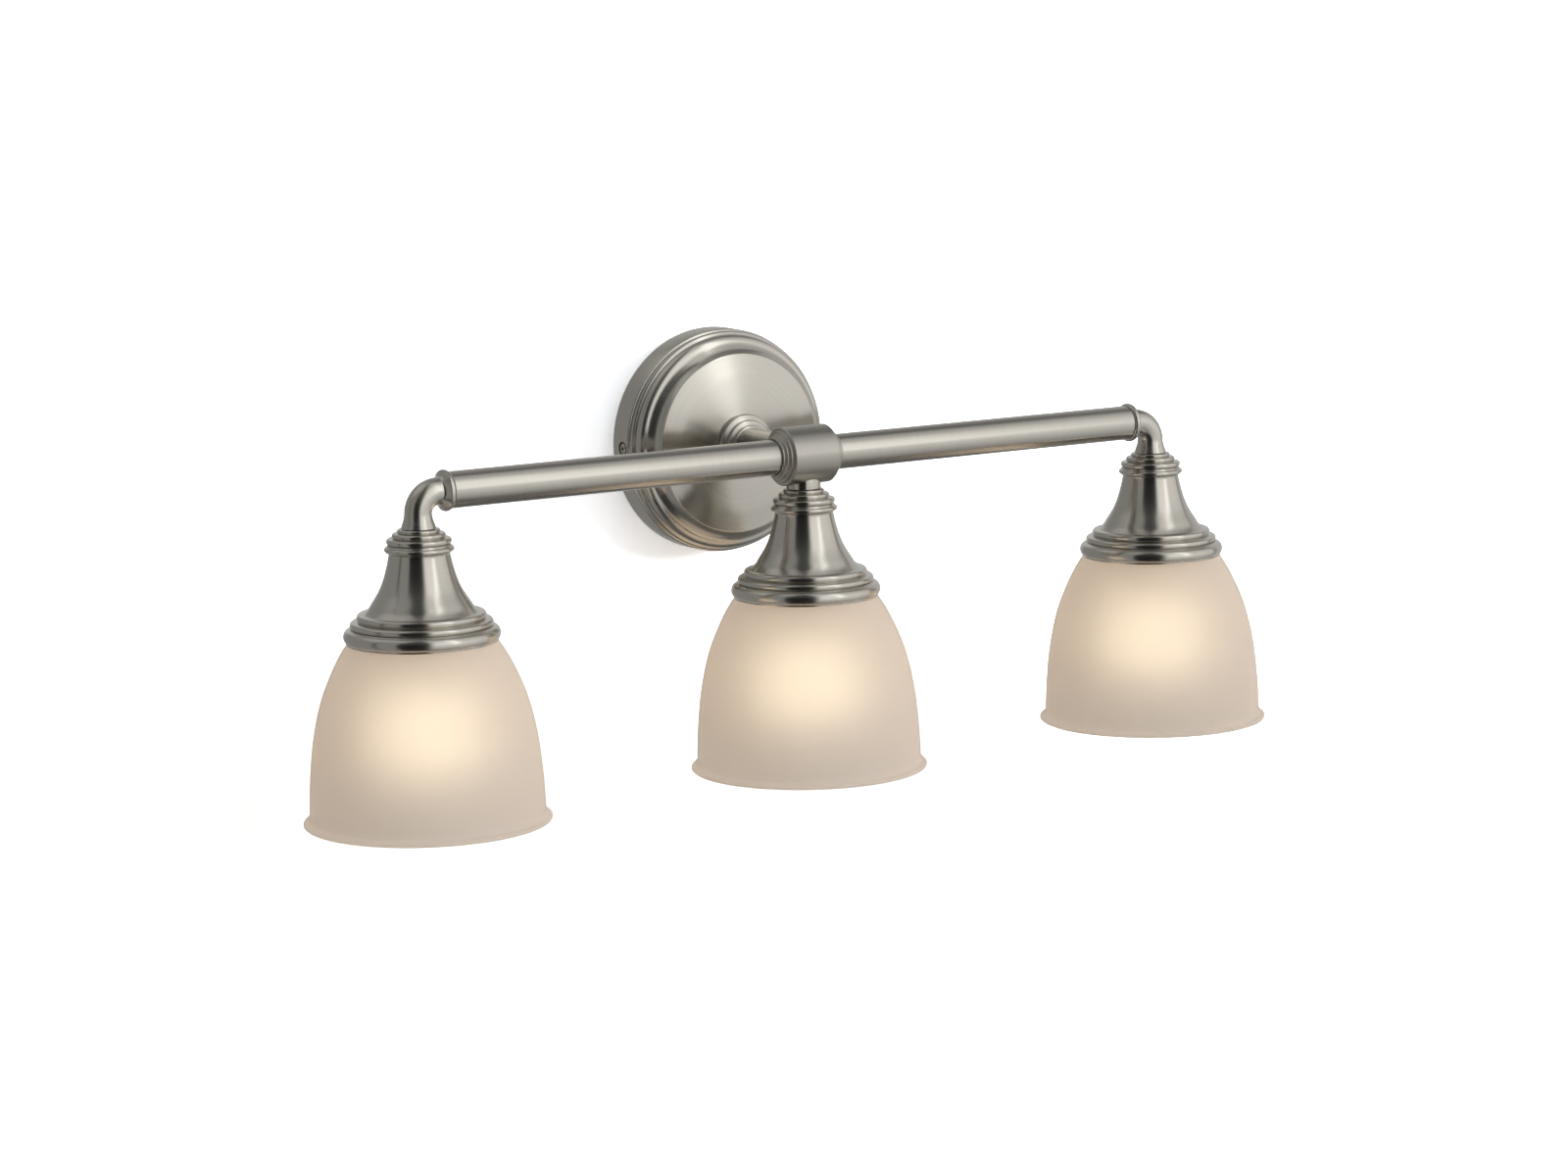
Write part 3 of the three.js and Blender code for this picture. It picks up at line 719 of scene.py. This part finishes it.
def elbow(side):
    """A cast elbow: flared foot, quarter bend, flared bead and a spigot in the bar."""
    foot, bend = LAMP_FOOT, ELBOW_BEND_R
    quarter = bend * math.pi / 2
    spigot_r, spigot_end = TUBE_BORE_R - GAP, 28
    up, out = (0, 0, 1), (1, 0, 0)

    def on_path(distance):
        """Centre and direction at a distance from the foot of the bend (negative is below)."""
        if distance <= 0:
            return (0, 0, distance - bend), up
        if distance >= quarter:
            return (distance - quarter + bend, 0, 0), out
        a = distance / bend
        centre = (bend - bend * math.cos(a), 0, -bend + bend * math.sin(a))
        return centre, (math.sin(a), 0, math.cos(a))

    flare = smooth([(8.9, foot), (8.75, foot + 0.6), (8.1, foot + 2.6), (7.45, foot + 4.6),
                    (ELBOW_R, -bend)], 4)
    outer = [(h + bend, r) for r, h in flare]
    outer += [(d, ELBOW_R) for d in np.linspace(1, quarter, 22)]
    bead_outline = [(ELBOW_R + 0.05, 11.5), *smooth([(7.3, 12), (8.0, 12.7), (9.2, 13.5)], 4),
                    *arc(9.4, ELBOW_BEAD_END - 1.7, ELBOW_BEAD_R - 9.4, 1.7, -40, 85, 10),
                    (9.3, ELBOW_BEAD_END), (spigot_r, ELBOW_BEAD_END),
                    (spigot_r, spigot_end - 0.4), (spigot_r - 0.4, spigot_end)]
    outer += [(h - bend + quarter, r) for r, h in bead_outline]
    thread_end = foot + bend + 6
    bore = np.linspace(spigot_end - bend + quarter, thread_end, 40)
    inner = [(d, ELBOW_BORE_R) for d in bore]
    inner += [(thread_end, NIPPLE_HOLE_R), (foot + bend, NIPPLE_HOLE_R)]
    stations = [(*on_path(d), r) for d, r in outer + inner]
    piece = swept("elbow_cast_" + side, stations, 64, closed=True)
    if side == "right":
        piece.rotation_euler.z = math.pi
    return moved(piece, x=LAMP_X[side] / MM, y=BAR_Y / MM)


def bar_tube(side, sign):
    """A plain tube from inside the hub to the elbow's bead."""
    near, far = 13.1, LAMP_PITCH - ELBOW_BEAD_END - GAP
    outline = eased([(TUBE_BORE_R, near), (TUBE_R, near), (TUBE_R, far), (TUBE_BORE_R, far)], 0.25)
    placed = [(r, sign * h) for r, h in outline]
    return moved(lathe("bar_" + side, placed, "x", 96), y=BAR_Y / MM)


def stem():
    """The short tube from the hub down to the centre lamp's collar, narrower at its top."""
    outline = [
        (NIPPLE_HOLE_R, LAMP_FOOT), (STEM_R, LAMP_FOOT), (STEM_R, -12.2), (STEM_R - 1.6, -12.2),
        (STEM_R - 1.6, -13), (NIPPLE_HOLE_R, -13)]
    return moved(lathe("stem_turned", eased(outline, 0.25), "z", 96), y=BAR_Y / MM)


for side, sign in (("left", -1), ("right", 1)):
    stand_for(bar_tube(side, sign), "bar_tube_" + side, nickel["x"])
    stand_for(elbow(side), "elbow_" + side, cast_nickel)
stand_for(stem(), "centre_stem", nickel["z"])


# ---- lamps --------------------------------------------------------------------------------
def bell_cap(name):
    """A spun bell: a rolled bead at its base, two steps, a long flare and a neck bead."""
    outer = [
        (38.8, 93.5),
        (38.85, 94.0),
        *arc(37.0, 97.1, 3.0, 3.6, -50, 80, 16),
        (36.7, 101.2),
        *arc(35.0, 102.8, 1.5, 1.75, -65, 75, 10),
        (33.7, 104.8),
        *arc(31.8, 106.6, 1.15, 1.7, -70, 80, 9),
        (30.2, 108.35),
        *smooth([(29.2, 108.6), (26.9, 110.9), (24.9, 114), (21.2, 120), (18.6, 126.3), (16.6, 133.5),
                 (15.6, 138.2)], 6),
        (15.75, 138.9),
        *arc(16.1, 140.9, 1.7, 1.5, -70, 75, 10),
        (16, CAP_TOP),
        (NIPPLE_HOLE_R, CAP_TOP),
    ]
    inner = [
        (NIPPLE_HOLE_R, CAP_TOP - SHEET),
        (14.2, CAP_TOP - SHEET),
        (14.2, 138),
        *smooth([(15.2, 133), (17.2, 125.4), (23.6, 112.6), (28, 107.2)], 8),
        (31.2, 106.2),
        (34.2, 103.0),
        (35.4, 100.6),
        (38.5, 97),
        (38.5, 93.6),
    ]
    return lathe(name, outer + inner, "z", 160)


def glass_shade(name):
    """An open bell of thick glass with a small rolled lip, its neck under the bell cap."""
    body = smooth([(60.4, 4), (59.4, 24), (57.2, 44), (52.6, 64), (45.1, 82), (38, 93.6),
                   (32.4, 98.2), (25.6, 100.8)], 7)
    lip = [(59.3, 0.4), (59.9, 0), (62.0, 0), *arc(62.2, 1.3, 1.3, 1.25, -75, 80, 8),
           (61.4, 2.75), (60.8, 3.2)]
    top = [(22, 101.1), (21, 100.9)]
    inner = inner_wall(body, SHADE_WALL)
    return lathe(name, [*lip, *body, *top, (21, 98.2), *inner], "z", 160, sharp=60)


def socket_body(name):
    outline = [
        (14.7, 88), (19.6, 88), (19.6, 101.4), (24, 101.4), (24, 104.4), (17.2, 104.6), (17.2, 119),
        (15.4, 122.6), (8, 123.4), (8, 127), (NIPPLE_HOLE_R, 127), (NIPPLE_HOLE_R, 120.7),
        (0, 120.7), (0, 118.4), (14.7, 118.4)]
    return lathe(name, eased(outline, 0.5), "z", 96)


def with_steps(outline, step):
    """The outline with points no further apart than a step, for threads and ribs."""
    points = []
    for a, b in zip(outline, outline[1:]):
        n = max(1, int(math.dist(a, b) / step))
        points += [tuple(np.add(a, np.subtract(b, a) * i / n)) for i in range(n)]
    return points + [outline[-1]]


def screw_shell(name):
    outline = with_steps([
        (13.9, 90), (14.5, 90), (14.5, 118), (5, 118), (5, 117.4), (13.9, 117.4), (13.9, 90.2)], 0.55)
    ridge = screw_thread(THREAD_PITCH, 0.6, 91, 114)
    return lathe(name, outline, "z", 72, lambda a, h, r: ridge(a, h, r) if r > 13.5 else 0, sharp=60)


def ring_lugs(angle, h, r):
    """Hollows for the fingers around the retaining ring's rim."""
    return -0.5 * (0.5 + 0.5 * math.cos(24 * angle)) ** 0.6 if r > 24.5 and 92 < h < 95 else 0


def retaining_ring(name):
    outline = eased([(20.1, 91.6), (25.4, 91.6), (25.4, 95.2), (24, 96.4), (20.1, 96.4)], 0.35)
    return lathe(name, with_steps(outline, 0.4), "z", 192, ring_lugs, sharp=50)


def bulb_glass(name):
    """A hollow globe with a tapered neck."""
    inside_r = BULB_R - BULB_WALL
    ball = arc(0, BULB_CENTRE, BULB_R, BULB_R, -90, 26, 36)
    hollow = arc(0, BULB_CENTRE, inside_r, inside_r, 26, -90, 36)
    neck = smooth([(25.9, 57.2), (21, 68), (15.6, 79), (13.2, 86), (12.9, 89.4)], 6)
    inner_neck = [(r - BULB_WALL, h) for r, h in reversed(neck[1:])]
    outline = [
        (0, BULB_CENTRE - BULB_R), *ball[1:-1], *neck,
        *inner_neck, *hollow[1:-1], (0, BULB_CENTRE - inside_r)]
    return lathe(name, outline, "z", 96, sharp=60)


def bulb_base(name):
    outline = with_steps([
        (11.9, 89.8), (12.9, 89.8), (12.9, 109.6), (12.2, 110.6), (9.6, 112.8), (8.6, 113.2)], 0.55)
    outline += [(7.9, 112.6), (8.6, 111.8), (11.9, 109.4)]
    ridge = screw_thread(THREAD_PITCH, 0.9, 91.5, 110)
    return lathe(name, outline, "z", 72, lambda a, h, r: ridge(a, h, r) if r > 12.5 else 0, sharp=60)


def bulb_tip(name):
    outline = [(0, 115.2), *arc(0, 114.6, 3.4, 1.4, 88, 8, 6), (3.5, 114.2), (3.3, 113.9), (0, 113.9)]
    return lathe(name, outline, "z", 48)


def bulb_insulator(name):
    outline = [(0, 113.6), (3.6, 113.75), (5.2, 113.7), (8.3, 112.95), (7.8, 112.2), (0, 111.4)]
    return lathe(name, outline, "z", 48)


def centre_contact(name):
    outline = [(0, 116.4), *arc(0, 117.2, 3.4, 0.8, -88, 0, 6), (3.4, 118.1), (0, 118.1)]
    return lathe(name, outline, "z", 48)


def lamp_collar(name):
    return stepped_collar(name, "z", COLLAR_BASE)


def lamp_nipple(name):
    return threaded(name, NIPPLE_R, NIPPLE_BORE_R, 121, COLLAR_TOP + 5, "z")


def lamp_locknut(name):
    return hex_nut(name, 137.6, 141.6, "z")


# Each lamp's pieces: the start of the CAD node's name and of the piece's, its maker and material.
FIXED_PIECES = [
    ("stepped_collar_", "collar_turned_", lamp_collar, nickel["z"]),
    ("bell_cap_", "bell_spun_", bell_cap, nickel["z"]),
    ("nipple_", "nipple_threaded_", lamp_nipple, zinc),
    ("locknut_", "locknut_hex_", lamp_locknut, zinc),
    ("socket_", "socket_body_", socket_body, porcelain),
    ("screw_shell_", "shell_threaded_", screw_shell, brass),
    ("centre_contact_", "contact_dome_", centre_contact, brass),
    ("retaining_ring_", "shade_ring_", retaining_ring, porcelain),
    ("glass_shade_", "shade_blown_", glass_shade, frosted),
]
BULB_PIECES = [
    ("bulb_glass_", "bulb_envelope_", bulb_glass, bulb_frost),
    ("bulb_base_", "bulb_base_part_", bulb_base, bulb_metal),
    ("bulb_base_", "bulb_insulator_part_", bulb_insulator, black_glass),
    ("bulb_base_", "bulb_tip_part_", bulb_tip, brass),
]

for side in SIDES:
    for body, pieces in (("root", FIXED_PIECES), ("bulb_" + side, BULB_PIECES)):
        for node_start, name_start, make, material in pieces:
            piece = moved(make(name_start + side), x=LAMP_X[side] / MM, y=BAR_Y / MM, z=-BAR_DROP)
            stand_for(piece, node_start + side, material, body)


# ---- wiring -------------------------------------------------------------------------------
LOOM_R = 1.15
LOOM_PLACE_R = 1.68  # from the arm's axis to each of the three looms in it
TAIL_R = 0.7


def leads(side, index):
    """One lamp's sleeved pair, from its socket to the canopy, and its two tails.

    The index is -1, 0 or 1 from left to right. ox and oz are the loom's place in the arm.
    """
    angle = math.radians({-1: 150, 0: 270, 1: 30}[index])
    ox, oz = LOOM_PLACE_R * math.cos(angle), LOOM_PLACE_R * math.sin(angle)
    bar_y = BAR_Y / MM
    lamp_x = index * LAMP_PITCH
    bend_x = lamp_x - index * ELBOW_BEND_R
    start = 121.4 - BAR_DROP
    if index:
        outside = [
            (lamp_x, bar_y, start), (lamp_x, bar_y, -30), (lamp_x, bar_y, -ELBOW_BEND_R - 1),
            (lamp_x - index * 3.2, bar_y, -3.2), (bend_x - index, bar_y, 0),
            (bend_x - index * 60, bar_y, 0), (index * 90, bar_y, 0), (index * 20, bar_y, 0),
            (index * 9, bar_y + 1.5, 0.5 * oz), (index * 3.4, bar_y + 7, oz)]
    else:
        outside = [(0, bar_y, start), (0, bar_y, -30), (0, bar_y, -10), (0, bar_y + 2.4, -4.6),
                   (0, bar_y + 7, -2.4)]
    inside = [(ox * 1.1, bar_y + 14, oz), (ox, -60, oz), (ox, -40, oz), (ox, -26, oz), (ox, -21, oz)]
    loom = cable("leads_sleeved_" + side, [*outside, *inside], LOOM_R, 8)
    tails = []
    for to in (-1, 1):
        nut_x, nut_y = to * NUT_X + 0.9 * ox, 0.9 * oz - NUT_DEPTH
        if index:
            rise = [(ox + to * 1.4, -19.4 + 2 * index, oz + 0.4),
                    (nut_x * 0.6, 3.2 * index - NUT_DEPTH, 7.8),
                    (nut_x, nut_y + index * 0.6, 14)]
        else:
            rise = [(to * 2.4, -19.6, -3), (nut_x * 0.8, -20.6, 4.5), (nut_x, nut_y - 1.4, 14)]
        route = [(ox + to * 0.3, -22.6, oz), *rise, (nut_x, nut_y + 0.2 * index, 26)]
        tails.append(cable("tail", route, TAIL_R))
    return join(loom, tails)


for index, side in zip((-1, 0, 1), SIDES):
    stand_for(leads(side, index), "leads_" + side, sleeve)


# ---- studio -------------------------------------------------------------------------------
PAPER_BRIGHTNESS = 1.7  # above 1, so that the side light overexposes it outside the shadow


def one_sided(name, glow_strength):
    """White paper that also glows, and is clear from behind."""
    material = bpy.data.materials.new(name)
    material.use_nodes = True
    tree = material.node_tree
    tree.nodes.clear()
    cool_white = [share * PAPER_BRIGHTNESS for share in (0.97, 1, 1.05)]
    paper = node(tree, "BsdfDiffuse", {"Color": (*cool_white, 1)})
    glow = node(tree, "Emission", {"Color": (1, 1, 1, 1), "Strength": glow_strength})
    both = node(tree, "AddShader", {0: paper.outputs[0], 1: glow.outputs[0]})
    clear = node(tree, "BsdfTransparent")
    behind = node(tree, "NewGeometry").outputs["Backfacing"]
    mixed = node(tree, "MixShader", {0: behind, 1: both.outputs[0], 2: clear.outputs[0]})
    out = node(tree, "OutputMaterial")
    tree.links.new(mixed.outputs[0], out.inputs["Surface"])
    return material


def sheet_of_paper(name, corners, material):
    """A stage sheet that only the camera sees, so that it neither lights nor mirrors."""
    mesh = bpy.data.meshes.new(name)
    mesh.from_pydata([Vector(c) for c in corners], [], [(0, 1, 2, 3)])
    paper = bpy.data.objects.new(name, mesh)
    mesh.materials.append(material)
    bpy.context.scene.collection.objects.link(paper)
    for ray in ("diffuse", "glossy", "transmission", "shadow", "volume_scatter"):
        setattr(paper, "visible_" + ray, False)
    return paper


FLOOR_Z = -0.75
WALL_Y = 0.0006  # just behind the mounting plane
ROOM = 6.0
wall = sheet_of_paper("wall_paper", [
    (-ROOM, WALL_Y, -ROOM), (ROOM, WALL_Y, -ROOM), (ROOM, WALL_Y, ROOM), (-ROOM, WALL_Y, ROOM)],
    one_sided("wall_white", 0.3))
floor = sheet_of_paper("floor_paper", [
    (-ROOM, -ROOM, FLOOR_Z), (ROOM, -ROOM, FLOOR_Z), (ROOM, ROOM, FLOOR_Z), (-ROOM, ROOM, FLOOR_Z)],
    one_sided("floor_white", 0.4))

# Soft boxes and dark gaps of the studio, by direction from the object, in degrees:
# azimuth from and to (0 is straight in front of the wall, + is to the right), elevation from
# and to, softness of the edge (twice as soft in elevation), brightness. Later rows lie over
# earlier ones and over the ambient light. The row "main" has a brightness that varies.
AMBIENT = 0.30
PANELS = [
    (-180, 180, -100, -40, 6, 0.12),
    (-179, -103, -60, 60, 4, 0.29),
    (-175, -62, 40, 76, 4, 0.50),
    (-100, -62, -60, 60, 3, 0.30),
    (-104.5, -99.5, -40, 50, 1.5, 0.03),
    (-65, -17, -60, 42, 2, 0.012),
    (-62, -18, 32, 100, 5, 0.07),
    (87, 136, 38, 100, 4, 0.18),
    (-12, 86, -62, 100, 3, "main"),
    (-12, 50, 46, 100, 4, 0.66),
    (-8, 37, 8, 50, 4, 1.1),
    (20, 30, 4, 60, 2, 1.8),
    (95, 172, -30, 34, 3, 0.55),
]
# The main soft box: (degrees, brightness) by azimuth, and (degrees, share of it) by elevation.
MAIN_ACROSS = [(-20, 1.05), (0, 1.12), (57, 1.12), (70, 1.0), (90, 0.95)]
MAIN_UP = [
    (-62, 0.12), (-54, 0.20), (-46, 0.33), (-36, 0.45), (-25, 0.54), (-15, 0.64), (-6, 0.74),
    (2, 0.82), (9, 0.84), (23, 0.76), (32, 0.70), (41, 0.62), (50, 0.54), (58, 0.48), (90, 0.48)]

RAMP_TOP = 2.0


def build_world():
    """The studio's light comes from every direction, and the camera sees it as plain white."""
    world = bpy.data.worlds.new("studio")
    bpy.context.scene.world = world
    world.use_nodes = True
    tree = world.node_tree
    tree.nodes.clear()
    way = node(tree, "SeparateXYZ", {0: node(tree, "TexCoord").outputs["Generated"]}).outputs
    forward = calc(tree, "MULTIPLY", way[1], -1.0)
    azimuth, elevation = [
        calc(tree, "MULTIPLY", angle, math.degrees(1)) for angle in (
            calc(tree, "ARCTAN2", way[0], forward), calc(tree, "ARCSINE", way[2]))]

    def inside(angle, low, high, edge):
        """1 between two angles and 0 outside them, with soft edges."""
        rise = soft_step(tree, angle, low - edge, low + edge, 0.0, 1.0)
        fall = soft_step(tree, angle, high - edge, high + edge, 1.0, 0.0)
        return calc(tree, "MULTIPLY", rise, fall)

    def profile(angle, points):
        """A value that runs through (degrees, value) points, by a ramp that holds up to 1."""
        first, last = points[0][0], points[-1][0]
        share = node(tree, "MapRange", {
            "Value": angle, "From Min": first, "From Max": last}).outputs[0]
        ramp = node(tree, "ValToRGB", {0: share})
        stops = ramp.color_ramp.elements
        stops.remove(stops[1])
        for i, (at, value) in enumerate(points):
            place = (at - first) / (last - first)
            stop = stops[0] if i == 0 else stops.new(place)
            stop.position = place
            stop.color = (value / RAMP_TOP, value / RAMP_TOP, value / RAMP_TOP, 1)
        return calc(tree, "MULTIPLY", ramp.outputs[0], RAMP_TOP)

    main = calc(tree, "MULTIPLY", profile(azimuth, MAIN_ACROSS), profile(elevation, MAIN_UP))
    light = AMBIENT
    for az0, az1, el0, el1, edge, brightness in PANELS:
        value = main if brightness == "main" else brightness
        across, up = inside(azimuth, az0, az1, edge), inside(elevation, el0, el1, 2 * edge)
        cover = calc(tree, "MULTIPLY", across, up)
        step = calc(tree, "MULTIPLY", cover, calc(tree, "SUBTRACT", value, light))
        light = calc(tree, "ADD", light, step)
    studio = node(tree, "Background", {"Color": (1, 0.995, 0.985, 1), "Strength": light})
    backdrop = node(tree, "Background", {"Color": (1, 1, 1, 1), "Strength": 1.0})
    seen = node(tree, "LightPath").outputs["Is Camera Ray"]
    mixed = node(tree, "MixShader", {0: seen, 1: studio.outputs[0], 2: backdrop.outputs[0]})
    out = node(tree, "OutputWorld")
    tree.links.new(mixed.outputs[0], out.inputs["Surface"])


build_world()


def side_light(azimuth, elevation, distance, size, watts, receivers):
    """A soft light from one side that falls on the white paper only, so its shadow shows there."""
    light = bpy.data.lights.new("side_light", "AREA")
    light.shape, light.size, light.energy = "DISK", size, watts
    lamp = bpy.data.objects.new("side_light", light)
    a, e = math.radians(azimuth), math.radians(elevation)
    way = Vector((math.sin(a) * math.cos(e), -math.cos(a) * math.cos(e), math.sin(e)))
    lamp.location = way * distance
    lamp.rotation_euler = way.to_track_quat("Z", "Y").to_euler()
    lamp.visible_glossy = lamp.visible_camera = False
    reached = bpy.data.collections.new("lit_by_side_light")
    for piece in receivers:
        reached.objects.link(piece)
    lamp.light_linking.receiver_collection = reached
    bpy.context.scene.collection.objects.link(lamp)


side_light(azimuth=58, elevation=12, distance=2.2, size=0.8, watts=45, receivers=[wall, floor])
bpy.context.scene.view_settings.view_transform = "Standard"


# ---- camera -------------------------------------------------------------------------------
CAMERA_PLACE = (-1.1797, -1.9907, 0.2847)
CAMERA_AZIMUTH = math.radians(-31.61)
CAMERA_ELEVATION = math.radians(9.07)
CAMERA_ROLL = math.radians(-1.20)
CAMERA_LENS = 97.0


def build_camera():
    """Looks along the photograph's direction, which is given by azimuth, elevation and roll."""
    lens = bpy.data.cameras.new("camera")
    lens.lens = CAMERA_LENS
    lens.sensor_width = 36
    lens.clip_start = 0.05
    lens.clip_end = 60
    camera = bpy.data.objects.new("camera", lens)
    bpy.context.scene.collection.objects.link(camera)
    ca, sa = math.cos(CAMERA_AZIMUTH), math.sin(CAMERA_AZIMUTH)
    ce, se = math.cos(CAMERA_ELEVATION), math.sin(CAMERA_ELEVATION)
    back = Vector((sa * ce, -ca * ce, se))
    right = (-back).cross(Vector((0, 0, 1))).normalized()
    up = right.cross(-back)
    c, s = math.cos(CAMERA_ROLL), math.sin(CAMERA_ROLL)
    rolled_right = c * right + s * up
    rolled_up = c * up - s * right
    turn = Matrix((rolled_right, rolled_up, back)).transposed()
    camera.matrix_world = Matrix.Translation(CAMERA_PLACE) @ turn.to_4x4()
    bpy.context.scene.camera = camera


build_camera()
